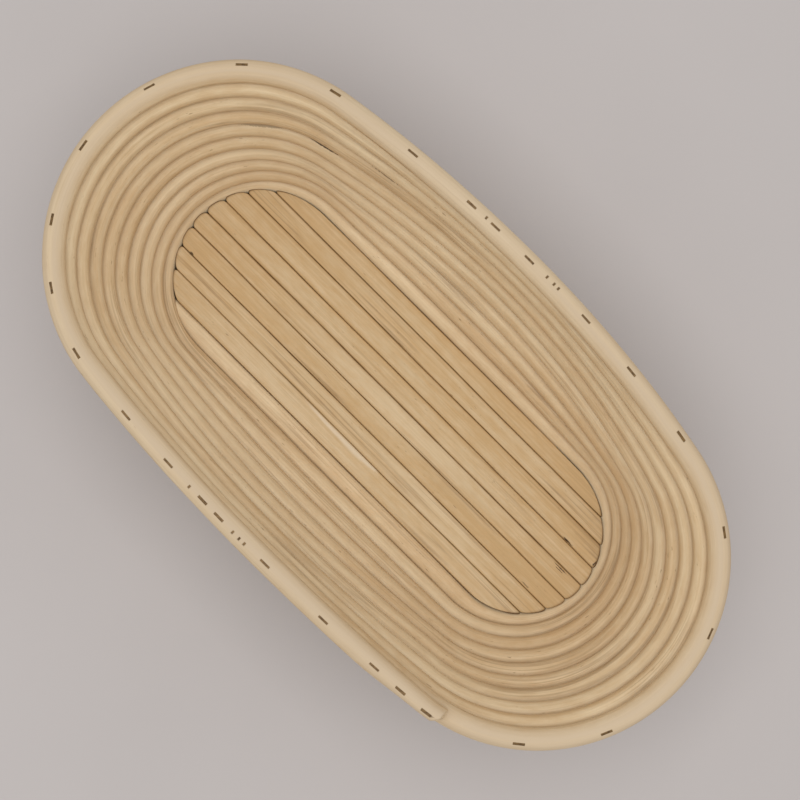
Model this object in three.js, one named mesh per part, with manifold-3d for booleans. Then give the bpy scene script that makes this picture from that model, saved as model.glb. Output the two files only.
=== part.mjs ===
import * as THREE from 'three';
import { mergeVertices } from 'three/addons/utils/BufferGeometryUtils.js';
import Module from 'manifold-3d';

// Oval proofing basket of coiled cane: straight floor canes inside a wall wound from three spliced canes.
// Millimetres, +Z up, X along the basket, origin on the resting plane under its middle.

// Wall coil
const CANE_DIAMETER = 9.3;
const COIL_PITCH = 10.3;          // between the centres of neighbouring turns, up the wall
const COIL_TURNS = 10;
const KNEE_TURNS = 1;             // turns that bend up from the floor
const KNEE_ANGLE = 53;            // slope of the side walls above the knee, degrees
const RIM_ANGLE = 84;             // slope of the side walls at the rim, degrees
const END_CENTRE = 73.7;          // centre of each round end from mid length, part way up the wall
const END_FLARE = 11.2;           // extra length that each end gains over a side towards the rim
const END_TUCK = 11.4;            // how much further out the first turn lies at the ends
const TUCK_TURNS = 2.5;           // turns over which the tuck fades
const END_RISE = 0.35;            // how much the first turn rises at the ends, as a share of its rise at the sides
const SIDE_BOW = 10.3;            // outward bow of each long side, above the first turns
const BOW_TURNS = 3.55;           // turns over which the sides bow out
const BOW_EASE = 4.9;             // how much of the bow is lost again towards the rim
const RIGHT_LEAN = 0.43;          // shift of the +X end towards -Y, as a share of the bow
const LEFT_LEAN = 0.13;           // the same at the -X end
const SPREAD_TURNS = 9.6;         // after this many turns the coil climbs without spreading
const START_TAPER = 0.1;          // share of the first side over which the start of the coil tapers off
const FIRST_SPLICE = 3.81;        // turns from the start of the coil
const SECOND_SPLICE = 7.55;
const SPLICE_LENGTH = 22;
const RIM_END_ANGLE = 10;         // the coil stops this far round the +X end, degrees
const RIM_END_SLANT = 0.3;

// Floor
const FLOOR_CANES = 8;
const FLOOR_CANE_DIAMETER = 9.2;
const FLOOR_PITCH = 9.7;
const FLOOR_TIP = 2;              // how far the end of a floor cane laps over the first turn

// Battens under the floor
const BATTEN_INSET = 22;          // middle of a batten from the end of the first turn
const BATTEN_LENGTH = 78;
const BATTEN_WIDTH = 16;
const BATTEN_THICKNESS = 3;
const BATTEN_CORNER = 4;

// Wire staples and brads
const STAPLE_CROWN = 5.1;
const STAPLE_WIDTH = 1.2;
const STAPLE_WIRE = 0.6;
const RIM_LEG = 14;
const FLOOR_LEG = 9;
const CROWN_PROUD = 0.15;
const CROWN_SUNK = 0.25;
const BRAD_HEAD = 1.7;
const BRAD_HEAD_HEIGHT = 0.6;
const BRAD_SHANK = 1;
const BRAD_LENGTH = 13;
const BRAD_POINT = 1.5;

// Where the rim is fastened: millimetres from mid length on a side, degrees from the X axis on an end
const FRONT_STAPLES = [-74.7, -48.5, -27.5, -17.7, 9.6, 43.3, 71.9, 86.5];
const BACK_STAPLES = [94.5, 61.1, 32.3, -2, -21.8, -35.4, -67.9];
const RIGHT_STAPLES = [-51.8, -21.2, 28.6, 63.4];
const LEFT_STAPLES = [85.1, 52, 20, -9.7, -36.9, -60.1, -83.9];
const RIM_END_STAPLE = 3.6;       // degrees round the +X end, on the last stretch of the coil
const FRONT_BRADS = [-35.4, -9.2, -5.4, -2.4];
const BACK_BRADS = [15.2, 12.6, 8.4, -27.2];
const BATTEN_STAPLED_CANES = [2, 4, 5, 7];

// Clearance between pieces that touch, and facets
const SEAT_GAP = 0.3;
const COPE_GAP = 0.45;            // between a shaped cane end and the turn that it meets
const CANE_SIDES = 8;
const FLOOR_SIDES = 12;
const SIDE_STEPS = 6;
const END_STEPS = 16;

const caneRadius = CANE_DIAMETER / 2;
const floorRadius = FLOOR_CANE_DIAMETER / 2;
const loopSteps = 2 * (SIDE_STEPS + END_STEPS);
const Z_UP = new THREE.Vector3(0, 0, 1);

const wasm = await Module();
wasm.setup();

// Section of the wall: how far out and up the cane has moved after a number of turns.
// A tight arc at the knee runs into a long shallow arc up to the rim.
function wallSection(turns) {
  const kneeTurns = Math.min(turns, KNEE_TURNS);
  const kneeRate = THREE.MathUtils.degToRad(KNEE_ANGLE) / KNEE_TURNS;
  const kneeSlope = kneeRate * kneeTurns;
  const wallRate = THREE.MathUtils.degToRad(RIM_ANGLE - KNEE_ANGLE) / (COIL_TURNS - KNEE_TURNS);
  const slope = kneeSlope + wallRate * (turns - kneeTurns);
  const kneeRadius = COIL_PITCH / kneeRate;
  const wallRadius = COIL_PITCH / wallRate;
  return {
    out: kneeRadius * Math.sin(kneeSlope) + wallRadius * (Math.sin(slope) - Math.sin(kneeSlope)),
    up: kneeRadius * (1 - Math.cos(kneeSlope)) + wallRadius * (Math.cos(kneeSlope) - Math.cos(slope)),
  };
}

// The first turn starts beside the floor canes, and half a turn later it passes their other side
const floorWidth = FLOOR_CANES * FLOOR_PITCH;
const startHalfWidth = (floorWidth + CANE_DIAMETER + 2 * SEAT_GAP - wallSection(0.5).out) / 2;
const floorMiddle = wallSection(0.5).out / 2;

// Plan of one turn: an oval of two end arcs and two long sides
function ovalPlan(turns) {
  const spread = Math.min(turns, SPREAD_TURNS);
  const grown = spread / COIL_TURNS;
  const nearlyStraight = 0.02;
  const bowed = SIDE_BOW * (1 - Math.exp(-((spread / BOW_TURNS) ** 2)));
  const bow = Math.max(bowed - BOW_EASE * grown ** 4, nearlyStraight);
  const halfWidth = startHalfWidth + wallSection(spread).out;
  const endRadius = halfWidth - bow;
  const tuck = END_TUCK * Math.exp(-spread / TUCK_TURNS);
  const endCentre = END_CENTRE + END_FLARE * grown ** 3 + tuck + bow;
  return { bow, halfWidth, endRadius, endCentre, endReach: endCentre + endRadius };
}

// Half of a long side, from its middle to an end arc that has shifted away from it by a share of its bow.
// The two arcs are tangent where they meet.
function sideArc(plan, lean) {
  const shift = lean * plan.bow;
  const centre = (plan.endCentre ** 2 + shift ** 2 - plan.bow ** 2) / (2 * (plan.bow + shift));
  return {
    shift,
    centre,
    radius: plan.halfWidth + centre,
    meetAngle: Math.atan2(plan.endCentre, centre - shift),
  };
}

// Place of a station in plan. A loop is a side, the +X end, the other side and the -X end.
function planPoint(station) {
  const loop = Math.floor(station / loopSteps);
  const half = (station - loop * loopSteps) >= loopSteps / 2 ? 1 : 0;
  const inHalf = station - loop * loopSteps - half * loopSteps / 2;
  const onEnd = inHalf > SIDE_STEPS;
  const share = onEnd ? (inHalf - SIDE_STEPS) / END_STEPS : inHalf / SIDE_STEPS;
  const turns = loop + half / 2 + (onEnd ? share / 2 : 0);
  const plan = ovalPlan(turns);
  const turned = half ? -1 : 1;
  const leanBehind = half ? RIGHT_LEAN : -LEFT_LEAN;
  const leanAhead = half ? LEFT_LEAN : -RIGHT_LEAN;
  if (onEnd) {
    const arc = sideArc(plan, leanAhead);
    const before = Math.PI / 2 - arc.meetAngle;
    const after = Math.PI / 2 - sideArc(plan, -leanAhead).meetAngle;
    const angle = THREE.MathUtils.lerp(-before, after, share);
    const reach = angle < 0 ? before : after;
    return {
      x: turned * (plan.endCentre + plan.endRadius * Math.cos(angle)),
      y: turned * (arc.shift + plan.endRadius * Math.sin(angle)),
      turns,
      endness: (Math.cos(angle) - Math.cos(reach)) / (1 - Math.cos(reach)),
    };
  }
  const fromMiddle = 2 * share - 1;
  const arc = sideArc(plan, fromMiddle < 0 ? leanBehind : leanAhead);
  const angle = arc.meetAngle * fromMiddle;
  return {
    x: turned * arc.radius * Math.sin(angle),
    y: turned * (arc.centre - arc.radius * Math.cos(angle)),
    turns,
    endness: 0,
  };
}

// How much higher a station lies than the turn below it, so that the two are a pitch apart
function riseOver(station) {
  const nudge = 0.01;
  const here = planPoint(station);
  const below = planPoint(station - loopSteps);
  const before = planPoint(station - nudge);
  const after = planPoint(station + nudge);
  const along = new THREE.Vector2(after.x - before.x, after.y - before.y).normalize();
  const out = (here.x - below.x) * along.y - (here.y - below.y) * along.x;
  return Math.sqrt(Math.max(COIL_PITCH ** 2 - out ** 2, 0));
}

// The first turn climbs off the floor, less at the ends. Each turn after it stacks on the one below.
function coilHeight(station) {
  if (station >= loopSteps) {
    return coilHeight(station - loopSteps) + riseOver(station);
  }
  const { turns, endness } = planPoint(station);
  const climb = riseOver(loopSteps) * wallSection(turns).up / wallSection(1).up;
  return climb * THREE.MathUtils.lerp(1, END_RISE, endness);
}

// Centre of the coiled cane at a station
function coilPoint(station) {
  const { x, y } = planPoint(station);
  return new THREE.Vector3(x, y, coilHeight(station));
}

// Axes of the cane at a station: along it, to its left and up
function coilFrame(station) {
  const reach = 0.01;
  const along = coilPoint(station + reach).sub(coilPoint(station - reach)).normalize();
  const left = new THREE.Vector3().crossVectors(Z_UP, along).normalize();
  const above = new THREE.Vector3().crossVectors(along, left);
  return { centre: coilPoint(station), along, left, above };
}

// Stations on the last turn of the coil
const startStation = START_TAPER * SIDE_STEPS;
const endTurn = COIL_TURNS * loopSteps;
const endStation = endTurn + SIDE_STEPS + END_STEPS * RIM_END_ANGLE / 180;

function sideStation(place, back) {
  const first = back ? endTurn - loopSteps / 2 : endTurn;
  const way = back ? -1 : 1;
  let low = first;
  let high = first + SIDE_STEPS;
  for (let pass = 0; pass < 40; pass += 1) {
    const middle = (low + high) / 2;
    if (way * coilPoint(middle).x < way * place) {
      low = middle;
    } else {
      high = middle;
    }
  }
  return low;
}

function endStationAt(degrees, left) {
  const first = endTurn - (left ? END_STEPS : loopSteps - SIDE_STEPS);
  const turned = left ? -degrees : degrees;
  return first + END_STEPS * (0.5 + turned / 180);
}

// Ring of points round a centre, and a closed tube through a row of rings
function ringAt(frame, radius, sides, slide = () => 0) {
  return Array.from({ length: sides }, (_, k) => {
    const angle = 2 * Math.PI * k / sides;
    const offset = frame.left.clone().multiplyScalar(radius * Math.cos(angle));
    offset.addScaledVector(frame.above, radius * Math.sin(angle));
    const shift = slide(offset);
    return offset.add(frame.centre).addScaledVector(frame.along, shift);
  });
}

function middleOf(ring) {
  return ring.reduce((sum, p) => sum.add(p), new THREE.Vector3()).divideScalar(ring.length);
}

function tubeThrough(rings, startTip = middleOf(rings[0]), endTip = middleOf(rings[rings.length - 1])) {
  const sides = rings[0].length;
  const points = rings.flat();
  const index = [];
  for (let i = 0; i + 1 < rings.length; i += 1) {
    for (let k = 0; k < sides; k += 1) {
      const a = i * sides + k;
      const b = i * sides + (k + 1) % sides;
      index.push(a, b, b + sides, a, b + sides, a + sides);
    }
  }
  const last = (rings.length - 1) * sides;
  points.push(startTip, endTip);
  for (let k = 0; k < sides; k += 1) {
    const next = (k + 1) % sides;
    index.push(points.length - 2, next, k);
    index.push(points.length - 1, last + k, last + next);
  }
  const geometry = new THREE.BufferGeometry().setFromPoints(points);
  geometry.setIndex(index);
  return geometry;
}

// How far from mid length a point at this height and breadth can go before it meets the coil's first turn
const firstTurns = Array.from({ length: Math.round(1.3 * loopSteps) + 1 }, (_, i) => coilPoint(i));

function reachToCoil(y, z, way, fromStation) {
  const clear = caneRadius + COPE_GAP;
  const stretch = new THREE.Line3();
  const nearest = new THREE.Vector3();
  const probe = new THREE.Vector3(0, y, z);
  const step = 0.1;
  const stretches = [];
  for (let i = fromStation; i + 1 < firstTurns.length; i += 1) {
    if (way * firstTurns[i].x > 0) {
      stretches.push(new THREE.Line3(firstTurns[i], firstTurns[i + 1]));
    }
  }
  const farthest = END_CENTRE + END_TUCK + startHalfWidth + COIL_PITCH;
  for (let reach = END_CENTRE / 2; reach < farthest; reach += step) {
    probe.x = way * reach;
    for (const line of stretches) {
      stretch.copy(line).closestPointToPoint(probe, true, nearest);
      if (nearest.distanceTo(probe) < clear) {
        return reach - step;
      }
    }
  }
  return farthest;
}

// End of a straight floor-level cane, shaped to the coil: it butts the first turn and laps a little over it.
// The end face is a tip, a ring at half the radius and the outer ring.
function copedEnd(frame, radius, sides, way, fromStation) {
  const heights = [-1, -0.5, 0, 0.5, 1].map((h) => frame.centre.z + h * radius);
  const cope = (p) => {
    const butt = Math.min(...heights.map((z) => reachToCoil(p.y, z, way, fromStation)));
    const reach = Math.min(reachToCoil(p.y, p.z, way, fromStation), butt + FLOOR_TIP);
    return new THREE.Vector3(way * reach, p.y, p.z);
  };
  return {
    tip: cope(frame.centre),
    inner: ringAt(frame, radius / 2, sides).map(cope),
    outer: ringAt(frame, radius, sides).map(cope),
  };
}

function straightFrame(x, y, z) {
  return {
    centre: new THREE.Vector3(x, y, z),
    along: new THREE.Vector3(1, 0, 0),
    left: new THREE.Vector3(0, 1, 0),
    above: Z_UP.clone(),
  };
}

function floorCaneY(number) {
  return floorMiddle + (number - (FLOOR_CANES + 1) / 2) * FLOOR_PITCH;
}

function floorCane(number) {
  const frame = straightFrame(0, floorCaneY(number), 0);
  const start = copedEnd(frame, floorRadius, FLOOR_SIDES, -1, 0);
  const end = copedEnd(frame, floorRadius, FLOOR_SIDES, 1, 0);
  return tubeThrough([start.inner, start.outer, end.outer, end.inner], start.tip, end.tip);
}

// One length of wall cane between two stations, its ends cut on a slant or coped
function wallCane(first, last, startRings, endSlide, startTip) {
  const keepOff = 0.7;
  const rings = [...startRings];
  for (let station = Math.ceil(first + keepOff); station <= last - keepOff; station += 1) {
    rings.push(ringAt(coilFrame(station), caneRadius, CANE_SIDES));
  }
  rings.push(ringAt(coilFrame(last), caneRadius, CANE_SIDES, endSlide));
  return tubeThrough(rings, startTip);
}

// Splices are long slanted cuts, seen as a diagonal line on the inside of the wall
const spliceSlant = SPLICE_LENGTH / CANE_DIAMETER;
const spliceGap = SEAT_GAP * Math.hypot(1, spliceSlant) / 2;
const spliceEnd = (offset) => spliceSlant * offset.z - spliceGap;
const spliceStart = (offset) => spliceSlant * offset.z + spliceGap;
const rimEnd = (offset) => -RIM_END_SLANT * offset.z;
const firstSplice = FIRST_SPLICE * loopSteps;
const secondSplice = SECOND_SPLICE * loopSteps;

const coilStart = straightFrame(0, coilPoint(startStation).y, 0);
const copedStart = copedEnd(coilStart, caneRadius, CANE_SIDES, -1, loopSteps / 2);
const wallCanes = {
  wall_cane_lower: wallCane(
    startStation,
    firstSplice,
    [copedStart.inner, copedStart.outer],
    spliceEnd,
    copedStart.tip,
  ),
  wall_cane_middle: wallCane(
    firstSplice,
    secondSplice,
    [ringAt(coilFrame(firstSplice), caneRadius, CANE_SIDES, spliceStart)],
    spliceEnd,
  ),
  wall_cane_upper: wallCane(
    secondSplice,
    endStation,
    [ringAt(coilFrame(secondSplice), caneRadius, CANE_SIDES, spliceStart)],
    rimEnd,
  ),
};

// Least gap of each wall cane to itself, measured between points on neighbouring turns
function leastGap(first, last) {
  const perStep = 4;
  const count = Math.floor((last - first) * perStep);
  const points = Array.from({ length: count }, (_, i) => coilPoint(first + i / perStep));
  let least = Infinity;
  for (let i = 0; i < count; i += 1) {
    for (let j = i + loopSteps * perStep / 2; j < count; j += 1) {
      least = Math.min(least, points[i].distanceTo(points[j]));
    }
  }
  return least - CANE_DIAMETER;
}

const coilStretches = {
  wall_cane_lower: [startStation, firstSplice],
  wall_cane_middle: [firstSplice, secondSplice],
  wall_cane_upper: [secondSplice, endStation],
};
for (const [name, [first, last]] of Object.entries(coilStretches)) {
  console.log(`${name}: least gap to itself ${leastGap(first, last).toFixed(2)} mm`);
}

// Wire staple: crown along X with its outer face at zero, legs down -Y. Grown by a clearance it is its own slot.
function stapleShape(leg, grow) {
  const outer = STAPLE_CROWN / 2 + grow;
  const inner = STAPLE_CROWN / 2 - STAPLE_WIRE - grow;
  const outline = new THREE.Shape();
  outline.moveTo(-outer, grow);
  outline.lineTo(-outer, -leg - grow);
  outline.lineTo(-inner, -leg - grow);
  outline.lineTo(-inner, -STAPLE_WIRE - grow);
  outline.lineTo(inner, -STAPLE_WIRE - grow);
  outline.lineTo(inner, -leg - grow);
  outline.lineTo(outer, -leg - grow);
  outline.lineTo(outer, grow);
  const depth = STAPLE_WIDTH + 2 * grow;
  const geometry = new THREE.ExtrudeGeometry(outline, { depth, bevelEnabled: false });
  return geometry.translate(0, 0, -depth / 2);
}

// Brad: a narrow head across the cane with its top at zero, on a pointed shank down -Y
function bradShape(grow) {
  const head = BRAD_HEAD / 2 + grow;
  const shank = BRAD_SHANK / 2 + grow;
  const neck = -BRAD_HEAD_HEIGHT - grow;
  const shoulder = BRAD_POINT - BRAD_LENGTH - grow;
  const outline = new THREE.Shape();
  outline.moveTo(-head, grow);
  outline.lineTo(-head, neck);
  outline.lineTo(-shank, neck);
  outline.lineTo(-shank, shoulder);
  outline.lineTo(0, -BRAD_LENGTH - grow);
  outline.lineTo(shank, shoulder);
  outline.lineTo(shank, neck);
  outline.lineTo(head, neck);
  outline.lineTo(head, grow);
  const depth = BRAD_SHANK + 2 * grow;
  const geometry = new THREE.ExtrudeGeometry(outline, { depth, bevelEnabled: false });
  return geometry.translate(0, 0, -depth / 2).rotateY(Math.PI / 2);
}

// Closed solids for cutting, and back again
function bare(geometry) {
  const plain = geometry.clone();
  plain.deleteAttribute('normal');
  plain.deleteAttribute('uv');
  return mergeVertices(plain, 1e-5);
}

function solidOf(geometry) {
  const plain = bare(geometry);
  return new wasm.Manifold(new wasm.Mesh({
    numProp: 3,
    vertProperties: new Float32Array(plain.attributes.position.array),
    triVerts: new Uint32Array(plain.index.array),
  }));
}

function geometryOf(solid) {
  const mesh = solid.getMesh();
  const geometry = new THREE.BufferGeometry();
  geometry.setAttribute('position', new THREE.BufferAttribute(new Float32Array(mesh.vertProperties), 3));
  geometry.setIndex(new THREE.BufferAttribute(new Uint32Array(mesh.triVerts), 1));
  return geometry;
}

function cutFrom(geometry, slots) {
  return slots.length ? geometryOf(slots.reduce((left, slot) => left.subtract(slot), solidOf(geometry))) : geometry;
}

// A fastener's place: driven down the slope of the wall from the top turn into the turn below
function rimPlace(station, proud) {
  const frame = coilFrame(station);
  const outward = frame.centre.clone().sub(coilPoint(station - loopSteps));
  outward.addScaledVector(frame.along, -outward.dot(frame.along)).normalize();
  const across = new THREE.Vector3().crossVectors(frame.along, outward);
  const seat = frame.centre.clone().addScaledVector(outward, caneRadius + proud);
  return new THREE.Matrix4().makeBasis(frame.along, outward, across).setPosition(seat);
}

function battenPlace(x, number) {
  const seat = new THREE.Vector3(x, floorCaneY(number), battenBottom + CROWN_SUNK);
  const basis = new THREE.Matrix4().makeRotationX(-Math.PI / 2);
  return basis.setPosition(seat);
}

const battenTop = -Math.max(floorRadius, caneRadius) - SEAT_GAP;
const battenBottom = battenTop - BATTEN_THICKNESS;

// Rim fasteners in order round the basket, each with the slot that it sits in
const rimStapleStations = [
  ...RIGHT_STAPLES.map((degrees) => endStationAt(degrees, false)),
  ...BACK_STAPLES.map((place) => sideStation(place, true)),
  ...LEFT_STAPLES.map((degrees) => endStationAt(degrees, true)),
  ...FRONT_STAPLES.map((place) => sideStation(place, false)),
  endTurn + SIDE_STEPS + END_STEPS * RIM_END_STAPLE / 180,
];
const rimBradStations = [
  ...BACK_BRADS.map((place) => sideStation(place, true)),
  ...FRONT_BRADS.map((place) => sideStation(place, false)),
];
const rimStaples = rimStapleStations.map((station) => rimPlace(station, CROWN_PROUD));
const rimBrads = rimBradStations.map((station) => rimPlace(station, 0));
const rimSlots = [
  ...rimStaples.map((place) => solidOf(stapleShape(RIM_LEG, SEAT_GAP).applyMatrix4(place))),
  ...rimBrads.map((place) => solidOf(bradShape(SEAT_GAP).applyMatrix4(place))),
];

const battenX = ovalPlan(0).endReach - BATTEN_INSET;
const battenSides = { left: -battenX, right: battenX };
const battenStaples = Object.values(battenSides).flatMap((x) => (
  BATTEN_STAPLED_CANES.map((number) => ({ x, number, place: battenPlace(x, number) }))
));

function slotOf(staple) {
  return solidOf(stapleShape(FLOOR_LEG, SEAT_GAP).applyMatrix4(staple.place));
}

// Flat strip with rounded corners, lying across the floor canes
function batten(x) {
  const halfX = BATTEN_WIDTH / 2;
  const halfY = BATTEN_LENGTH / 2;
  const straightX = halfX - BATTEN_CORNER;
  const straightY = halfY - BATTEN_CORNER;
  const outline = new THREE.Shape();
  outline.absarc(straightX, -straightY, BATTEN_CORNER, -Math.PI / 2, 0);
  outline.absarc(straightX, straightY, BATTEN_CORNER, 0, Math.PI / 2);
  outline.absarc(-straightX, straightY, BATTEN_CORNER, Math.PI / 2, Math.PI);
  outline.absarc(-straightX, -straightY, BATTEN_CORNER, Math.PI, 1.5 * Math.PI);
  const options = { depth: BATTEN_THICKNESS, bevelEnabled: false, curveSegments: 4 };
  const geometry = new THREE.ExtrudeGeometry(outline, options);
  geometry.translate(x, floorMiddle, battenBottom);
  return cutFrom(geometry, battenStaples.filter((staple) => staple.x === x).map(slotOf));
}

// Materials
const wallFinish = { color: 0xcbb58c, roughness: 0.62, metalness: 0 };
const floorFinish = { color: 0xc6a878, roughness: 0.6, metalness: 0 };
const battenFinish = { color: 0xc2a877, roughness: 0.7, metalness: 0 };
const wireFinish = { color: 0x6b563c, roughness: 0.5, metalness: 0.8 };

const basket = new THREE.Group();

function addPiece(name, geometry, finish, place) {
  const closed = bare(geometry);
  closed.computeVertexNormals();
  const mesh = new THREE.Mesh(closed, new THREE.MeshStandardMaterial(finish));
  mesh.name = name;
  if (place) {
    place.decompose(mesh.position, mesh.quaternion, mesh.scale);
  }
  basket.add(mesh);
}

for (let number = 1; number <= FLOOR_CANES; number += 1) {
  const slots = battenStaples.filter((staple) => staple.number === number).map(slotOf);
  addPiece(`floor_cane_${number}`, cutFrom(floorCane(number), slots), floorFinish);
}
for (const [name, geometry] of Object.entries(wallCanes)) {
  addPiece(name, cutFrom(geometry, name === 'wall_cane_upper' ? rimSlots : []), wallFinish);
}
rimStaples.forEach((place, i) => {
  const number = String(i + 1).padStart(2, '0');
  addPiece(`rim_staple_${number}`, stapleShape(RIM_LEG, 0), wireFinish, place);
});
rimBrads.forEach((place, i) => {
  addPiece(`rim_brad_${i + 1}`, bradShape(0), wireFinish, place);
});
for (const [side, x] of Object.entries(battenSides)) {
  addPiece(`underside_batten_${side}`, batten(x), battenFinish);
}
battenStaples.forEach((staple, i) => {
  addPiece(`batten_staple_${i + 1}`, stapleShape(FLOOR_LEG, 0), wireFinish, staple.place);
});

// Stand the basket on its battens over the origin
const box = new THREE.Box3().setFromObject(basket);
basket.position.set(-(box.min.x + box.max.x) / 2, -(box.min.y + box.max.y) / 2, -box.min.z);

export default basket;
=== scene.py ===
import math

import bpy
import numpy as np
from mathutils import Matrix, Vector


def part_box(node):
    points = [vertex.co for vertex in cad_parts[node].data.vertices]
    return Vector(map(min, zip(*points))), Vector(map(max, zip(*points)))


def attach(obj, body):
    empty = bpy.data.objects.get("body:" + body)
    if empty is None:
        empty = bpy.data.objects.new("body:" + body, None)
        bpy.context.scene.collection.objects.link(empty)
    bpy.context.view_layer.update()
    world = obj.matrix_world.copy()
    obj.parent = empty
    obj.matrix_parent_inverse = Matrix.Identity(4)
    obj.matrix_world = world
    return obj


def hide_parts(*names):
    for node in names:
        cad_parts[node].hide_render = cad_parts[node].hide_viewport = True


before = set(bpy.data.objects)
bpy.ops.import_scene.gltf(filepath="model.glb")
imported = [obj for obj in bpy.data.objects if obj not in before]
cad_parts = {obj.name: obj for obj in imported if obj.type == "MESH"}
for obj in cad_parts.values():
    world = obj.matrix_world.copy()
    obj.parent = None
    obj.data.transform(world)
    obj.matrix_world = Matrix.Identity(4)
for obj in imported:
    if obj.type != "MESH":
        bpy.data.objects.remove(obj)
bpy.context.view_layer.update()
scene = bpy.context.scene
scene.view_settings.view_transform = "Standard"
mm = 0.001


def paint(red, green, blue):  # 0 to 255, as a paint chart gives it
    shares = [channel / 255 for channel in (red, green, blue)]
    linear = [c / 12.92 if c <= 0.04045 else ((c + 0.055) / 1.055) ** 2.4 for c in shares]
    return (*linear, 1.0)


# camera straight above, turned so that the basket lies corner to corner
cameraSetup = {
    "height": 0.7750,
    "over": (-0.0007, -0.0011),
    "roll": 45.0,
    "lens": 72.85,
    "sensor": 36.0,
    "shift": (0.0170, 0.0055),
}
cameraData = bpy.data.cameras.new("overheadCamera")
cameraData.lens = cameraSetup["lens"]
cameraData.sensor_width = cameraSetup["sensor"]
cameraData.shift_x, cameraData.shift_y = cameraSetup["shift"]
camera = bpy.data.objects.new("overheadCamera", cameraData)
camera.location = (*cameraSetup["over"], cameraSetup["height"])
camera.rotation_euler = (0.0, 0.0, math.radians(cameraSetup["roll"]))
scene.collection.objects.link(camera)
scene.camera = camera

# soft light from all round, a little stronger from above
lightSetup = {
    "skyStrength": 0.60,
    "skyColour": (1.0, 0.995, 0.99, 1.0),
    "softboxPower": 22.5,
    "softboxSize": 1.8,
    "softboxPlace": (0.03, -0.06, 1.9),
}
world = bpy.data.worlds.new("studio")
world.use_nodes = True
sky = world.node_tree.nodes["Background"]
sky.inputs["Color"].default_value = lightSetup["skyColour"]
sky.inputs["Strength"].default_value = lightSetup["skyStrength"]
scene.world = world
softboxData = bpy.data.lights.new("softbox", "AREA")
softboxData.energy = lightSetup["softboxPower"]
softboxData.size = lightSetup["softboxSize"]
softbox = bpy.data.objects.new("softbox", softboxData)
softbox.location = lightSetup["softboxPlace"]
scene.collection.objects.link(softbox)
print("camera and lights set")


# node helpers for the finishes
noiseSpan = (0.3, 0.7)  # where most of a noise's values lie


def newFinish(name):
    finish = bpy.data.materials.new(name)
    finish.use_nodes = True
    tree = finish.node_tree
    tree.nodes.clear()
    shader = tree.nodes.new("ShaderNodeBsdfPrincipled")
    output = tree.nodes.new("ShaderNodeOutputMaterial")
    tree.links.new(shader.outputs["BSDF"], output.inputs["Surface"])
    return finish, tree, shader


def addNode(tree, kind, inputs, **settings):
    node = tree.nodes.new(kind)
    for key, value in settings.items():
        setattr(node, key, value)
    for key, value in inputs.items():
        if isinstance(value, bpy.types.NodeSocket):
            tree.links.new(value, node.inputs[key])
        else:
            node.inputs[key].default_value = value
    return node


def stretchedNoise(tree, place, scale, detail, roughness=0.5):
    stretch = addNode(tree, "ShaderNodeMapping", {"Vector": place, "Scale": scale})
    noise = addNode(tree, "ShaderNodeTexNoise", {
        "Vector": stretch.outputs["Vector"], "Scale": 1.0, "Detail": detail, "Roughness": roughness})
    return noise.outputs["Fac"]


def ranged(tree, value, low, high, toLow=0.0, toHigh=1.0):
    node = addNode(tree, "ShaderNodeMapRange", {
        "Value": value, "From Min": low, "From Max": high, "To Min": toLow, "To Max": toHigh})
    return node.outputs["Result"]


def maths(tree, operation, first, second):
    node = addNode(tree, "ShaderNodeMath", {0: first, 1: second}, operation=operation)
    return node.outputs["Value"]


def layered(tree, amount, under, over, mode="MIX"):  # the mix node's colours are 6 and 7 in, 2 out
    node = addNode(tree, "ShaderNodeMix", {0: amount, 6: under, 7: over}, data_type="RGBA", blend_type=mode)
    return node.outputs[2]


def stored(tree, name, output="Fac"):
    return addNode(tree, "ShaderNodeAttribute", {}, attribute_name=name).outputs[output]


def addBump(tree, shader, height, look):
    bump = addNode(tree, "ShaderNodeBump", {
        "Height": height, "Strength": look["bumpStrength"], "Distance": look["bumpDistance"]})
    tree.links.new(bump.outputs["Normal"], shader.inputs["Normal"])


# peeled cane: long fibres, slow changes of tone, fine splits, specks, painted shade in the grooves
caneFinishes = {
    "wall": {
        "pale": paint(219, 197, 162), "tan": paint(202, 173, 133), "worn": paint(193, 172, 144),
        # groove colours the painted shade where canes meet; rust colours rust stains and the painted shade
        # in slots, slits and at the floor tips
        "groove": paint(122, 92, 56), "speck": paint(120, 88, 54), "rust": paint(70, 47, 24), "split": 0.35,
    },
    "floor": {
        "pale": paint(205, 182, 146), "tan": paint(192, 161, 116), "worn": paint(212, 193, 164),
        "groove": paint(140, 104, 60), "speck": paint(112, 80, 46), "rust": paint(66, 45, 24), "split": 0.45,
    },
}
# the noises' scales along and across a cane, per metre, and what is made of them
caneGrain = {
    "fibre": (12, 1250, 1250), "streak": (5, 380, 380), "patch": (8, 60, 60), "mottle": (110, 420, 420),
    "split": (6, 330, 330), "splitWhere": (13, 75, 75), "speck": (260, 1500, 1500),
    "speckWhere": (17, 90, 90), "grooveShadeNoise": (45, 150, 150), "ragged": (900, 2400, 2400),
    "patchSwing": 0.35, "streakSwing": 0.26, "mottleSwing": 0.28,
    "fibreLeast": {"Red": 0.91, "Green": 0.90, "Blue": 0.87}, "fibreMost": 1.07,
    "splitHalf": 0.05, "splitPatch": (0.52, 0.64), "speckSpan": (0.68, 0.75), "speckDark": 0.7,
    "speckPatch": (0.45, 0.65), "rubbedSpan": (0.25, 0.6), "rubbedLeast": 0.55, "grooveShadeSpan": (0.36, 0.6),
    "grooveShadeLeast": 0.2, "markEdge": (0.5, 1.1), "markRagged": 0.7, "roughness": (0.7, 0.54), "specular": 0.3,
    "streakHeight": 0.8, "bumpStrength": 0.4, "bumpDistance": 0.0003,
}


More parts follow.
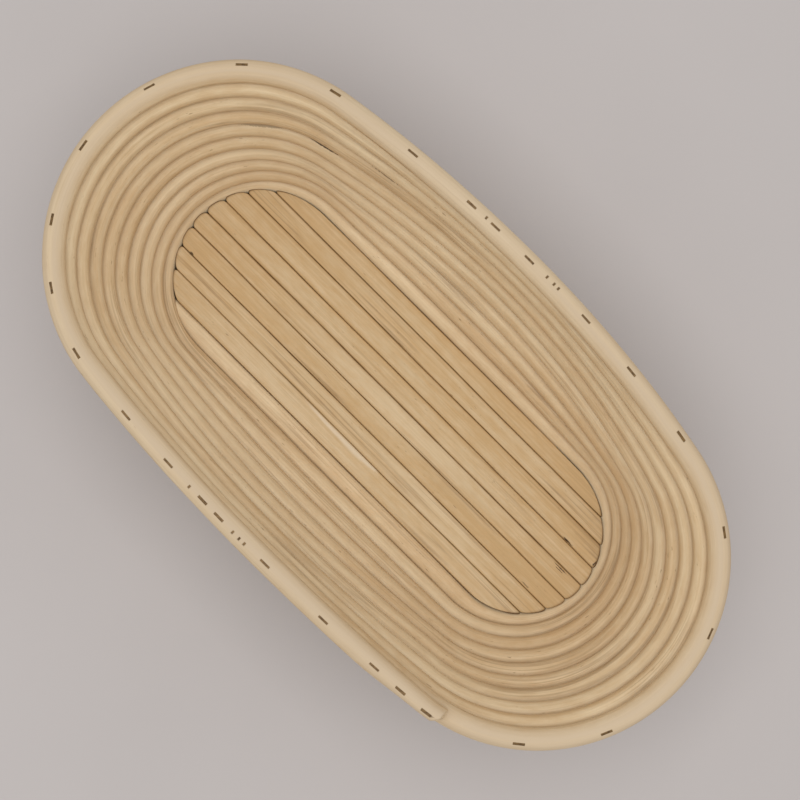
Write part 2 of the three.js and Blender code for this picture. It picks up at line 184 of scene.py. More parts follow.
def darkMarks(tree, marks):  # each mark has its middle, its heading, half its sizes and how dark it is
    place = addNode(tree, "ShaderNodeTexCoord", {}).outputs["Object"]
    swing = caneGrain["markRagged"]
    ragged = stretchedNoise(tree, place, caneGrain["ragged"], 3.0, 0.6)
    ragged = ranged(tree, ragged, *noiseSpan, -swing, swing)
    darkest = 0.0
    for middle, heading, halfSizes, dark in marks:
        inMark = addNode(tree, "ShaderNodeMapping", {
            "Vector": place, "Location": [mm * v for v in middle], "Rotation": (0.0, 0.0, heading),
            "Scale": [mm * v for v in halfSizes]}, vector_type="TEXTURE").outputs["Vector"]
        off = addNode(tree, "ShaderNodeVectorMath", {0: inMark, 1: inMark}, operation="DOT_PRODUCT")
        off = maths(tree, "ADD", off.outputs["Value"], ragged)
        darkest = maths(tree, "MAXIMUM", ranged(tree, off, *caneGrain["markEdge"], dark, 0.0), darkest)
    return darkest


def caneFinish(name, look, marks):
    finish, tree, shader = newFinish(name)
    place = stored(tree, "grain", "Vector")

    def grainNoise(key, detail, roughness=0.5):
        return stretchedNoise(tree, place, caneGrain[key], detail, roughness)

    fibre = grainNoise("fibre", 5.0, 0.65)
    streak = grainNoise("streak", 3.0)
    patch = grainNoise("patch", 2.0)
    mottle = grainNoise("mottle", 3.0, 0.6)
    tone = stored(tree, "tone")
    for noise, key in ((patch, "patchSwing"), (streak, "streakSwing"), (mottle, "mottleSwing")):
        tone = maths(tree, "ADD", tone, ranged(tree, noise, *noiseSpan, -caneGrain[key], caneGrain[key]))
    colour = layered(tree, ranged(tree, tone, 0.0, 1.0), look["pale"], look["tan"])
    fibreTone = addNode(tree, "ShaderNodeCombineColor", {
        channel: ranged(tree, fibre, *noiseSpan, least, caneGrain["fibreMost"])
        for channel, least in caneGrain["fibreLeast"].items()}).outputs["Color"]
    colour = layered(tree, 1.0, colour, fibreTone, "MULTIPLY")
    # fine splits along the fibres, here and there
    splitOff = maths(tree, "ABSOLUTE", maths(tree, "SUBTRACT", grainNoise("split", 2.0), 0.5), 0.0)
    splitWhere = ranged(tree, grainNoise("splitWhere", 1.0), *caneGrain["splitPatch"], 0.0, look["split"])
    split = ranged(tree, splitOff, 0.0, caneGrain["splitHalf"], 1.0, 0.0)
    colour = layered(tree, maths(tree, "MULTIPLY", split, splitWhere), colour, look["speck"])
    # short dark specks, in patches
    speck = ranged(tree, grainNoise("speck", 2.0), *caneGrain["speckSpan"], 0.0, caneGrain["speckDark"])
    speckWhere = ranged(tree, grainNoise("speckWhere", 1.0), *caneGrain["speckPatch"])
    colour = layered(tree, maths(tree, "MULTIPLY", speck, speckWhere), colour, look["speck"])
    # rubbed pale along the rim and where a strip peeled off
    rubbed = ranged(tree, streak, *caneGrain["rubbedSpan"], caneGrain["rubbedLeast"], 1.0)
    colour = layered(tree, maths(tree, "MULTIPLY", stored(tree, "wear"), rubbed), colour, look["worn"])
    # painted shade where canes meet, made uneven by a noise
    grooveShadeUneven = ranged(tree, grainNoise("grooveShadeNoise", 3.0, 0.65), *caneGrain["grooveShadeSpan"], caneGrain["grooveShadeLeast"], 1.0)
    colour = layered(tree, maths(tree, "MULTIPLY", stored(tree, "groove"), grooveShadeUneven), colour, look["groove"])
    # rust stains round the fasteners, and painted shade in the slots, in the slits under the next turn and
    # at the floor canes' tips
    stainAndShade = maths(tree, "MAXIMUM", stored(tree, "stainAndShade"), darkMarks(tree, marks))
    colour = layered(tree, stainAndShade, colour, look["rust"])
    tree.links.new(colour, shader.inputs["Base Color"])
    tree.links.new(ranged(tree, fibre, *noiseSpan, *caneGrain["roughness"]), shader.inputs["Roughness"])
    shader.inputs["Specular IOR Level"].default_value = caneGrain["specular"]
    height = maths(tree, "ADD", fibre, maths(tree, "MULTIPLY", streak, caneGrain["streakHeight"]))
    addBump(tree, shader, height, caneGrain)
    return finish


# dulled wire, brown with age
wireLook = {
    "clean": paint(128, 98, 54), "rust": paint(78, 55, 27), "metallic": 0.2, "roughness": (0.42, 0.75),
    "rustScale": (700, 700, 700), "scratchScale": (300, 300, 3000), "scratch": 0.3, "rustSpan": (0.45, 0.85),
    "bumpStrength": 0.4, "bumpDistance": 0.0001,
}


def wireFinish():
    finish, tree, shader = newFinish("wireFinish")
    place = addNode(tree, "ShaderNodeTexCoord", {}).outputs["Object"]
    rust = stretchedNoise(tree, place, wireLook["rustScale"], 4.0, 0.6)
    scratch = stretchedNoise(tree, place, wireLook["scratchScale"], 2.0)
    scratch = maths(tree, "MULTIPLY", scratch, wireLook["scratch"])
    amount = ranged(tree, maths(tree, "ADD", rust, scratch), *wireLook["rustSpan"])
    tree.links.new(layered(tree, amount, wireLook["clean"], wireLook["rust"]), shader.inputs["Base Color"])
    shader.inputs["Metallic"].default_value = wireLook["metallic"]
    tree.links.new(ranged(tree, rust, *noiseSpan, *wireLook["roughness"]), shader.inputs["Roughness"])
    addBump(tree, shader, rust, wireLook)
    return finish


# sawn strips under the floor
battenLook = {
    "early": paint(214, 186, 142), "late": paint(186, 150, 103), "pore": paint(128, 96, 60),
    "bandScale": (420, 12, 420), "poreScale": (2200, 90, 2200), "roughness": (0.62, 0.78),
    "bandSpan": (0.35, 0.65), "poreSpan": (0.62, 0.72), "poreDark": 0.6, "poreDepth": 0.5,
    "bumpStrength": 0.3, "bumpDistance": 0.0003,
}


def battenFinish():
    finish, tree, shader = newFinish("battenFinish")
    place = addNode(tree, "ShaderNodeTexCoord", {}).outputs["Object"]
    band = stretchedNoise(tree, place, battenLook["bandScale"], 3.0)
    pore = stretchedNoise(tree, place, battenLook["poreScale"], 2.0)
    bandTone = ranged(tree, band, *battenLook["bandSpan"])
    poreTone = ranged(tree, pore, *battenLook["poreSpan"], 0.0, battenLook["poreDark"])
    colour = layered(tree, bandTone, battenLook["early"], battenLook["late"])
    colour = layered(tree, poreTone, colour, battenLook["pore"])
    tree.links.new(colour, shader.inputs["Base Color"])
    tree.links.new(ranged(tree, band, *noiseSpan, *battenLook["roughness"]), shader.inputs["Roughness"])
    height = maths(tree, "SUBTRACT", band, maths(tree, "MULTIPLY", pore, battenLook["poreDepth"]))
    addBump(tree, shader, height, battenLook)
    return finish


# plain pale table
tableLook = {
    "size": 60.0, "light": paint(187, 181, 179), "dark": paint(183, 177, 175), "cloudScale": (5, 5, 5),
    "roughness": 0.9, "specular": 0.1,
}


def tableFinish():
    finish, tree, shader = newFinish("tableFinish")
    place = addNode(tree, "ShaderNodeTexCoord", {}).outputs["Object"]
    cloud = ranged(tree, stretchedNoise(tree, place, tableLook["cloudScale"], 3.0), *noiseSpan)
    tree.links.new(layered(tree, cloud, tableLook["light"], tableLook["dark"]), shader.inputs["Base Color"])
    shader.inputs["Roughness"].default_value = tableLook["roughness"]
    shader.inputs["Specular IOR Level"].default_value = tableLook["specular"]
    return finish


tableMesh = bpy.data.meshes.new("table")
half = tableLook["size"] / 2
tableCorners = [(-half, -half, 0), (half, -half, 0), (half, half, 0), (-half, half, 0)]
tableMesh.from_pydata(tableCorners, [], [(0, 1, 2, 3)])
table = bpy.data.objects.new("table", tableMesh)
tableMesh.materials.append(tableFinish())
scene.collection.objects.link(table)
print("finishes made")

# the coil, in millimetres from the middle of the floor: a side, the +X end, the other side, the -X end
coil = {
    "caneDiameter": 9.3, "pitch": 10.3, "turns": 10, "kneeTurns": 1, "kneeAngle": 53, "rimAngle": 84,
    "endCentre": 73.7, "endFlare": 11.2, "endTuck": 11.4, "tuckTurns": 2.5, "endRise": 0.35,
    "sideBow": 10.3, "bowTurns": 3.55, "bowEase": 4.9, "leastBow": 0.02,
    "rightLean": 0.43, "leftLean": 0.13, "spreadTurns": 9.6,
    "firstSplice": 3.81, "secondSplice": 7.55, "spliceLength": 22, "rimEndAngle": 10, "rimEndSlant": 0.3,
    "floorCanes": 8, "floorPitch": 9.7, "seatGap": 0.3, "sideSteps": 6, "endSteps": 16,
}
halfLoop = coil["sideSteps"] + coil["endSteps"]
loopSteps = 2 * halfLoop


def wallSection(turns):  # how far out and up the cane has moved
    kneeTurns = min(turns, coil["kneeTurns"])
    kneeRate = math.radians(coil["kneeAngle"]) / coil["kneeTurns"]
    kneeSlope = kneeRate * kneeTurns
    wallRate = math.radians(coil["rimAngle"] - coil["kneeAngle"]) / (coil["turns"] - coil["kneeTurns"])
    slope = kneeSlope + wallRate * (turns - kneeTurns)
    kneeRadius, wallRadius = coil["pitch"] / kneeRate, coil["pitch"] / wallRate
    out = kneeRadius * math.sin(kneeSlope) + wallRadius * (math.sin(slope) - math.sin(kneeSlope))
    up = kneeRadius * (1 - math.cos(kneeSlope)) + wallRadius * (math.cos(kneeSlope) - math.cos(slope))
    return out, up


floorWidth = coil["floorCanes"] * coil["floorPitch"]
startHalfWidth = (floorWidth + coil["caneDiameter"] + 2 * coil["seatGap"] - wallSection(0.5)[0]) / 2
floorMiddle = wallSection(0.5)[0] / 2


def ovalPlan(turns):  # bow and half width of the sides, radius and centre of the ends
    spread = min(turns, coil["spreadTurns"])
    grown = spread / coil["turns"]
    bow = coil["sideBow"] * (1 - math.exp(-(spread / coil["bowTurns"]) ** 2)) - coil["bowEase"] * grown ** 4
    bow = max(bow, coil["leastBow"])
    halfWidth = startHalfWidth + wallSection(spread)[0]
    tuck = coil["endTuck"] * math.exp(-spread / coil["tuckTurns"])
    return bow, halfWidth, halfWidth - bow, coil["endCentre"] + coil["endFlare"] * grown ** 3 + tuck + bow


def sideArc(plan, lean):  # half of a side, tangent to an end that leans away from it
    bow, halfWidth, _, endCentre = plan
    shift = lean * bow
    centre = (endCentre ** 2 + shift ** 2 - bow ** 2) / (2 * (bow + shift))
    return shift, centre, halfWidth + centre, math.atan2(endCentre, centre - shift)


def planPoint(station):  # x, y, turns so far, and how far into an end
    loop = math.floor(station / loopSteps)
    half = 1 if station - loop * loopSteps >= halfLoop else 0
    inHalf = station - loop * loopSteps - half * halfLoop
    onEnd = inHalf > coil["sideSteps"]
    share = (inHalf - coil["sideSteps"]) / coil["endSteps"] if onEnd else inHalf / coil["sideSteps"]
    turns = loop + half / 2 + (share / 2 if onEnd else 0)
    plan = ovalPlan(turns)
    turned = -1 if half else 1
    leanBehind = coil["rightLean"] if half else -coil["leftLean"]
    leanAhead = coil["leftLean"] if half else -coil["rightLean"]
    if onEnd:
        shift, _, _, meetAngle = sideArc(plan, leanAhead)
        before = math.pi / 2 - meetAngle
        after = math.pi / 2 - sideArc(plan, -leanAhead)[3]
        angle = (before + after) * share - before
        reach = before if angle < 0 else after
        x, y = plan[3] + plan[2] * math.cos(angle), shift + plan[2] * math.sin(angle)
        return turned * x, turned * y, turns, (math.cos(angle) - math.cos(reach)) / (1 - math.cos(reach))
    fromMiddle = 2 * share - 1
    _, centre, radius, meetAngle = sideArc(plan, leanBehind if fromMiddle < 0 else leanAhead)
    angle = meetAngle * fromMiddle
    return turned * radius * math.sin(angle), turned * (centre - radius * math.cos(angle)), turns, 0.0


# where the middle of the floor lies in the frame
leftLow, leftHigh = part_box("underside_batten_left")
rightLow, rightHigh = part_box("underside_batten_right")
caneLow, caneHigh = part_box("floor_cane_3")
floorPlace = np.array([
    (leftLow.x + rightHigh.x) / 2 / mm,
    (leftLow.y + leftHigh.y) / 2 / mm - floorMiddle,
    (caneLow.z + caneHigh.z) / 2 / mm,
])

# the line of the whole coil, close points, with the slight sway of a bent cane
coilLine = {
    "stationStep": 0.04, "pointSpacing": 0.7, "smoothOver": 9.0,
    "leadIn": 42.0, "leadStep": 0.8, "leadStation": 25.0,
    "sway": 0.10, "rimSway": 0.03, "swayFade": 12, "swaySeeds": (1.0, 4.2), "rimTurns": 0.9, "rimFade": 8,
    "caneRadius": 4.85, "rimRadius": 4.82, "endDraw": 0.25, "endLift": 0.06, "endDrawOver": 60.0,
    "searchSpan": 330, "searchStep": 3, "farthest": 14, "endPoints": 4, "surelyNear": 0.99,
    "topFrom": 300, "topOver": 80, "outMean": 12, "contactMean": 5,
}
endTurn = coil["turns"] * loopSteps
endStation = endTurn + coil["sideSteps"] + coil["endSteps"] * coil["rimEndAngle"] / 180


# the waves that a slow wandering is made of: millimetres long and how large, and how far each starts along
wandering = {"waves": ((171.0, 0.55), (97.0, 0.3), (58.0, 0.2), (33.0, 0.1)), "start": 1.7, "startStep": 2.3}


def slowWave(length, seed):  # a smooth wandering of about one, along a length in millimetres
    return sum(size * np.sin(2 * math.pi * length / wave
                             + seed * (wandering["start"] + wandering["startStep"] * n))
               for n, (wave, size) in enumerate(wandering["waves"]))


def runningMean(values, width):
    kernel = np.ones(2 * width + 1) / (2 * width + 1)
    padded = np.concatenate([np.repeat(values[:1], width, 0), values, np.repeat(values[-1:], width, 0)])
    return np.convolve(padded, kernel, "valid")


def unit(vectors):
    return vectors / np.linalg.norm(vectors, axis=-1, keepdims=True)


def offAxis(inward, above, reach, angle):  # a step away from the middle of a cane
    return inward * (reach * np.cos(angle))[..., None] + above * (reach * np.sin(angle))[..., None]


# the first turn climbs off the floor, and each turn after it stacks on the one below
stations = np.arange(0, endStation + 1e-9, coilLine["stationStep"])
planLine = np.array([planPoint(s) for s in stations])
oneTurn = round(loopSteps / coilLine["stationStep"])
planAlong = unit(np.gradient(planLine[:, :2], axis=0))
planStep = planLine[oneTurn:, :2] - planLine[:-oneTurn, :2]
outStep = planStep[:, 0] * planAlong[oneTurn:, 1] - planStep[:, 1] * planAlong[oneTurn:, 0]
rise = np.sqrt(np.maximum(coil["pitch"] ** 2 - outStep ** 2, 0))
climb = np.array([wallSection(t)[1] for t in planLine[:oneTurn, 2]]) * rise[0] / wallSection(1)[1]
height = np.zeros(len(stations))
height[:oneTurn] = climb * (1 + (coil["endRise"] - 1) * planLine[:oneTurn, 3])
for k in range(oneTurn, len(stations)):
    height[k] = height[k - oneTurn] + rise[k - oneTurn]
linePoints = np.column_stack([planLine[:, :2], height])
# the straight start, before the first station
leadSteps = np.arange(coilLine["leadIn"], 0, -coilLine["leadStep"])
leadIn = np.stack([linePoints[0, 0] - leadSteps, np.full(len(leadSteps), linePoints[0, 1]),
                   np.zeros(len(leadSteps))], 1)
linePoints = np.concatenate([leadIn, linePoints])
lineStations = np.concatenate([-leadSteps / coilLine["leadStation"], stations])
lineLength = np.concatenate([[0], np.cumsum(np.linalg.norm(np.diff(linePoints, axis=0), axis=1))])
linePoints[:, 2] = runningMean(linePoints[:, 2], round(coilLine["smoothOver"] / coilLine["pointSpacing"]))


def lineAxes(points, length):
    forward = unit(np.gradient(points, length, axis=0))
    inward = unit(np.cross([0.0, 0.0, 1.0], forward))
    return forward, inward, np.cross(forward, inward)


_, inwardAxis, aboveAxis = lineAxes(linePoints, lineLength)
onRim = np.clip((lineStations - (endTurn - coilLine["rimTurns"] * loopSteps)) / coilLine["rimFade"], 0, 1)
swaySize = coilLine["sway"] * (1 - onRim) + coilLine["rimSway"] * onRim
swaySize = swaySize * np.clip(lineStations / coilLine["swayFade"], 0, 1)
for swayAxis, swaySeed in zip((inwardAxis, aboveAxis), coilLine["swaySeeds"]):
    linePoints = linePoints + swayAxis * (swaySize * slowWave(lineLength, swaySeed))[:, None]

# the rim's last stretch is drawn in a little over the turn below
lineEnd = lineLength[-1]
drawnIn = coilLine["endDraw"] * np.clip(1 - (lineEnd - lineLength) / coilLine["endDrawOver"], 0, 1) ** 2
linePoints[:, :2] += inwardAxis[:, :2] * drawnIn[:, None]
linePoints[:, 2] += coilLine["endLift"] * drawnIn / coilLine["endDraw"]
forwardAxis, inwardAxis, aboveAxis = lineAxes(linePoints, lineLength)


def nextTurn(direction):  # angle to the neighbouring turn, half the distance to it, and where there is one
    count = len(linePoints)
    best = np.full(count, np.inf)
    found = np.zeros(count, int)
    searched = coilLine["searchSpan"]
    for step in range(oneTurn - searched, oneTurn + searched + 1, coilLine["searchStep"]):
        here = np.arange(0, count - step) if direction > 0 else np.arange(step, count)
        there = here + direction * step
        distance = np.linalg.norm(linePoints[there] - linePoints[here], axis=1)
        closer = distance < best[here]
        best[here[closer]] = distance[closer]
        found[here[closer]] = there[closer]
    away = linePoints[found] - linePoints
    angle = np.arctan2((away * aboveAxis).sum(1), (away * inwardAxis).sum(1))
    pastEnd = (found < coilLine["endPoints"]) | (found > count - coilLine["endPoints"])
    near = ((best < coilLine["farthest"]) & ~pastEnd).astype(float)
    return angle, np.where(near > 0, best / 2, coilLine["caneRadius"]), near


upAngle, upHalf, upNear = nextTurn(1)
downAngle, downHalf, downNear = nextTurn(-1)
upAngle = np.where(upNear > 0, upAngle, downAngle + math.pi)
downAngle = np.where(downNear > 0, downAngle, upAngle - math.pi)
topShare = np.clip((lineStations - coilLine["topFrom"]) / coilLine["topOver"], 0, 1)
outAngle = upAngle * (1 - topShare) + (downAngle + math.pi) * topShare
outAngle = runningMean(outAngle, coilLine["outMean"])
meanOver = coilLine["contactMean"]
upAngle, upHalf, upNear = (runningMean(v, meanOver) for v in (upAngle, upHalf, upNear))
downAngle, downHalf, downNear = (runningMean(v, meanOver) for v in (downAngle, downHalf, downNear))
turnsApart = 2 * upHalf[(lineStations > 0) & (upNear > coilLine["surelyNear"])]
least, most = turnsApart.min(), turnsApart.max()
print(f"coil line of {lineEnd / 1000:.2f} m, turns {least:.2f} to {most:.2f} mm apart")


def lengthAt(station):
    return float(np.interp(station, lineStations, lineLength))


def along(length, values):
    if values.ndim == 1:
        return np.interp(length, lineLength, values)
    return np.stack([np.interp(length, lineLength, values[:, n]) for n in range(values.shape[1])], -1)


def smoothShare(value):
    value = np.clip(value, 0, 1)
    return value * value * (3 - 2 * value)


# one mesh from rows of points round a cane, closed at both ends, with what the finish needs at each point.
# Its bake map lays the cane out in strips, with room for both end faces after the last one.
bakeMap = {"capRoom": 0.12, "margin": 0.04, "capPlaces": (0.92, 0.97), "capWide": 0.02, "capTall": 0.4}


def caneMesh(name, rows, atPoints, lengths, girth, finish, capShares, capRows=None, ringNormals=None):
    count, sides = rows.shape[:2]
    points = [rows.reshape(-1, 3)]
    values = {key: [value.reshape(-1, *value.shape[2:])] for key, value in atPoints.items()}
    faces, corners = [], []
    total = lengths[-1] - lengths[0]
    strips = max(1, round(math.sqrt(total / girth)))
    stripLength = total / (strips - bakeMap["capRoom"])
    margin = bakeMap["margin"]  # of a strip's height

    def onSheet(row, side, strip):
        return ((lengths[row] - lengths[0]) / stripLength - strip,
                (strip + margin + (1 - 2 * margin) * side / sides) / strips)

    for row in range(count - 1):
        strip = min(int((lengths[row] - lengths[0]) / stripLength), strips - 1)
        here, ahead = row * sides, (row + 1) * sides
        for side in range(sides):
            after = (side + 1) % sides
            faces.append((here + side, here + after, ahead + after, ahead + side))
            corners += [onSheet(row, side, strip), onSheet(row, side + 1, strip),
                        onSheet(row + 1, side + 1, strip), onSheet(row + 1, side, strip)]
    start = count * sides
    firstCap, lastCap = bakeMap["capPlaces"]
    for row, flip, sheetPlace in ((0, True, firstCap), (count - 1, False, lastCap)):
        middle = rows[row].mean(0) if capRows is None else capRows[row][-1].mean(0)
        rings = [np.arange(row * sides, (row + 1) * sides)]
        shares = [1.0, *capShares]
        for step, share in enumerate(capShares):
            points.append(middle + (rows[row] - middle) * share if capRows is None else capRows[row][step])
            for key, value in atPoints.items():
                values[key].append(value[row])
            rings.append(np.arange(start, start + sides))
            start += sides
        points.append(middle[None])
        for key, value in atPoints.items():
            values[key].append(value[row].mean(0)[None])

        def onCap(side, share):
            turn = 2 * math.pi * side / sides
            return (sheetPlace + bakeMap["capWide"] * share * math.cos(turn),
                    (strips - 0.5 + bakeMap["capTall"] * share * math.sin(turn)) / strips)

        for outer, inner, big, small in zip(rings, rings[1:], shares, shares[1:]):
            for side in range(sides):
                after = (side + 1) % sides
                face = [(outer[side], onCap(side, big)), (inner[side], onCap(side, small)),
                        (inner[after], onCap(side + 1, small)), (outer[after], onCap(side + 1, big))]
                face = face if flip else face[::-1]
                faces.append(tuple(int(f[0]) for f in face))
                corners += [f[1] for f in face]
        for side in range(sides):
            after = (side + 1) % sides
            face = [(start, onCap(side, 0)), (rings[-1][side], onCap(side, shares[-1])),
                    (rings[-1][after], onCap(side + 1, shares[-1]))]
            face = face[::-1] if flip else face
            faces.append(tuple(int(f[0]) for f in face))
            corners += [f[1] for f in face]
        start += 1
    mesh = bpy.data.meshes.new(name)
    mesh.from_pydata((np.concatenate(points) + floorPlace) * mm, [], faces)
    mesh.uv_layers.new(name="OFBake").uv.foreach_set("vector", np.array(corners, np.float32).ravel())
    for key, value in values.items():
        flat = np.concatenate(value).astype(np.float32)
        kind, field = ("FLOAT_VECTOR", "vector") if flat.ndim == 2 else ("FLOAT", "value")
        mesh.attributes.new(key, kind, "POINT").data.foreach_set(field, flat.ravel())
    mesh.polygons.foreach_set("use_smooth", np.arange(len(faces)) < (count - 1) * sides)
    mesh.materials.append(finish)
    mesh.validate()
    if ringNormals:  # a spliced end shades on from cane to cane
        normals = np.zeros((len(mesh.loops), 3))
        side = np.arange(sides)
        for row, normal in ringNormals.items():
            face = 4 * (side if row == 0 else (count - 2) * sides + side)
            near, far = (0, 1) if row == 0 else (3, 2)
            normals[face + near] = normal
            normals[face + far] = np.roll(normal, -1, 0)
        mesh.normals_split_custom_set(normals.tolist())
    piece = bpy.data.objects.new(name, mesh)
    scene.collection.objects.link(piece)
    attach(piece, "root")
    return piece


# where the rim is fastened: each staple or brad lies in a slot a little narrower than itself
fastenerSlots = {
    # dark is the painted shade inside a slot, halo the width of the rust stain round it
    "rim_staple": {"along": 4.8, "across": 0.78, "deep": 0.9, "halo": 0.22, "dark": 0.85},
    "rim_brad": {"along": 0.8, "across": 1.4, "deep": 0.7, "halo": 0.2, "dark": 0.85},
}
# within and farSide keep a slot to its own stretch and to the outside of the cane
slotShape = {
    "edge": 0.12, "haloDark": 0.3, "within": 6, "farSide": 20,
    "innerStep": 0.4, "edgeRows": (-0.25, 0.3, 0.07), "outerRows": (0.45, 0.8, 1.3),
}


def rimFasteners():  # place, length along the coil and slot of each
    topTurn = np.flatnonzero(lineStations > endStation - loopSteps)
    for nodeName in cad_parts:
        kind = fastenerSlots.get(nodeName.rsplit("_", 1)[0])
        if kind:
            low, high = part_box(nodeName)
            place = np.array((low + high) / 2) / mm - floorPlace
            nearest = topTurn[np.linalg.norm(linePoints[topTurn] - place, axis=1).argmin()]
            yield place, lineLength[nearest], kind


fasteners = list(rimFasteners())
print(f"{len(fasteners)} rim fasteners found")


def slotRows(kind):  # rows over half a slot, closest together at its end
    begin, end, step = slotShape["edgeRows"]
    halfSlot = kind["along"] / 2
    inner, outer = np.arange(0, halfSlot + begin, slotShape["innerStep"]), np.array(slotShape["outerRows"])
    return np.concatenate([inner, halfSlot + np.arange(begin, end, step), halfSlot + outer])


def slotsWithStainAndShade(surface, lengths, first, last):  # how deep the slots are, the painted shade inside them, and the rust stain round them
    slots, stainAndShade = np.zeros(surface.shape[:2]), np.zeros(surface.shape[:2])
    for place, at, kind in fasteners:
        if not first < at < last:
            continue
        rowsNear = np.abs(lengths - at) < slotShape["within"]
        forward = along(at, forwardAxis)
        outward = offAxis(along(at, inwardAxis), along(at, aboveAxis), 1.0, along(at, outAngle))
        offset = surface[rowsNear] - place
        offAcross = np.abs(offset @ np.cross(forward, outward))
        offAcross = offAcross + slotShape["farSide"] * (offset @ outward < 0)
        overAlong, overAcross = np.abs(offset @ forward) - kind["along"] / 2, offAcross - kind["across"] / 2
        inside = smoothShare(0.5 - overAlong / slotShape["edge"])
        inside = inside * smoothShare(0.5 - overAcross / slotShape["edge"])
        slots[rowsNear] = np.maximum(slots[rowsNear], kind["deep"] * inside)
        outside = np.hypot(np.maximum(overAlong, 0), np.maximum(overAcross, 0))
        halo = slotShape["haloDark"] * np.exp(-(outside / kind["halo"]) ** 2)
        # painted shade inside the slot, and a rust stain in a halo round it
        stainAndShade[rowsNear] = np.maximum(stainAndShade[rowsNear], np.maximum(kind["dark"] * inside, halo))
    return slots, stainAndShade


# how far a straight cane at floor level can go before it meets the first turn
copeSetup = {
    "clear": 4.9, "lap": 1.6, "heights": 5, "mostReach": 132,
    "stations": (4, 56), "endsFrom": 70, "offStart": 1,
}
turnFrom, turnTo = copeSetup["stations"]
ofFirstTurn = linePoints[(lineStations > turnFrom) & (lineStations < turnTo)]
firstTurn = {way: ofFirstTurn[way * ofFirstTurn[:, 0] > copeSetup["endsFrom"]] for way in (-1, 1)}
pastStart = firstTurn[-1][:, 1] > linePoints[0, 1] + copeSetup["offStart"]  # not the straight start itself
firstTurn[-1] = firstTurn[-1][pastStart]


def reachToCoil(y, z, way):
    line = firstTurn[way]
    spare = copeSetup["clear"] ** 2 - (line[:, 1] - y) ** 2 - (line[:, 2] - z) ** 2
    near = spare > 0
    return (way * line[near, 0] - np.sqrt(spare[near])).min(initial=copeSetup["mostReach"])


def copedReach(ys, zs, radius, way):
    heights = np.linspace(-radius, radius, copeSetup["heights"])
    reaches = []
    for y, z in zip(ys, zs):
        butt = min(reachToCoil(y, h, way) for h in heights)
        reaches.append(min(reachToCoil(y, z, way), butt + copeSetup["lap"]))
    return np.array(reaches)


# wall canes: each touches the turn below and the turn above
wallCanes = {
    "wallCaneLower": {
        "node": "wall_cane_lower", "from": None, "to": "firstSplice", "sides": 28, "rowStep": 2.4},
    "wallCaneMiddle": {
        "node": "wall_cane_middle", "from": "firstSplice", "to": "secondSplice",
        "sides": 28, "rowStep": 2.4},
    "wallCaneUpper": {
        "node": "wall_cane_upper", "from": "secondSplice", "to": None, "sides": 56, "rowStep": 3.3},
}
wallShape = {
    "swell": 0.008, "swellRate": 1.3, "swellSeed": 7.7, "contactPower": 3, "leastStep": 0.02,
    "startStation": 5, "startFlat": 3.0, "startFlatFade": 55.0, "startReach": 4.6, "startBlend": 30,
    "spliceBlend": 42.0, "topCrowd": 0.86, "topLead": 40, "topOver": 60, "capShares": (0.75, 0.5, 0.25),
    "rimEndBevel": 1.0, "rimEndSquare": 0.4, "rimEndBlend": 16.0, "rimEndRows": (0.12, 0.35, 0.7, 1.2),
    "rimEndSoft": 0.16, "rimSoftOver": 0.7,
    "rimEndShave": 2.1, "rimShaveFrom": 44.0, "rimShaveOver": 40.0, "shavePower": 3,
    "tone": 0.40, "toneSwing": 0.13, "toneRate": 0.6, "toneSeed": 2.9,
    "endTone": 0.2, "endToneFrom": 90, "endToneOver": 60,
    # grooveWidth and grooveDark set the painted shade where turns touch
    "grooveWidth": 0.26, "grooveDark": 0.8, "wearLean": 0.25, "wearPower": 1.2,
    "slitBelow": 0.55, "slitTall": 2.5,
}
startEnd = lengthAt(wallShape["startStation"])
# painted shade of the gaps under the next turn, as dark slits: length along the coil, half length, half
# width, how dark
wallSlits = ((3968.0, 9.5, 0.5, 0.95), (3996.0, 15.0, 0.8, 0.4), (4697.0, 8.0, 0.45, 0.65))


def slitMarks():
    for at, halfLong, halfWide, dark in wallSlits:
        angle, forward = along(at, upAngle) - wallShape["slitBelow"], along(at, forwardAxis)
        surface = offAxis(along(at, inwardAxis), along(at, aboveAxis), coilLine["caneRadius"], angle)
        middle = along(at, linePoints) + surface + floorPlace
        yield middle, math.atan2(forward[1], forward[0]), (halfLong, halfWide, wallShape["slitTall"]), dark


# dark splinters on the floor, in millimetres: along, across, half length, half width, how dark
splinters = (
    (105.1, 13.7, 3.0, 0.45, 1.0), (112.2, 2.3, 4.0, 0.28, 0.95), (111.6, 1.3, 3.0, 0.25, 0.85),
    (105.5, -14.9, 2.6, 0.35, 0.6), (121.6, 15.2, 0.45, 2.0, 0.9), (-115.9, -15.6, 1.2, 0.5, 0.9),
)
splinterDepth = 50.0


def splinterMarks():
    for x, y, halfLong, halfWide, dark in splinters:
        yield (x, y, 0.0), 0.0, (halfLong, halfWide, splinterDepth), dark


wallFinish = caneFinish("wallCaneFinish", caneFinishes["wall"], slitMarks())
floorFinish = caneFinish("floorCaneFinish", caneFinishes["floor"], splinterMarks())


def wallLengths(setup, first, last):  # rows along a cane, closer at the fasteners and at the rim's end
    lengths = list(np.linspace(first, last, round((last - first) / setup["rowStep"]) + 1))
    for _, at, kind in fasteners:
        if first < at < last:
            lengths += list(at + slotRows(kind)) + list(at - slotRows(kind))
    if setup["to"] is None:
        lengths += [last - back for back in wallShape["rimEndRows"]]
    lengths = np.array(sorted(lengths))
    return lengths[np.concatenate([[True], np.diff(lengths) > wallShape["leastStep"]])]


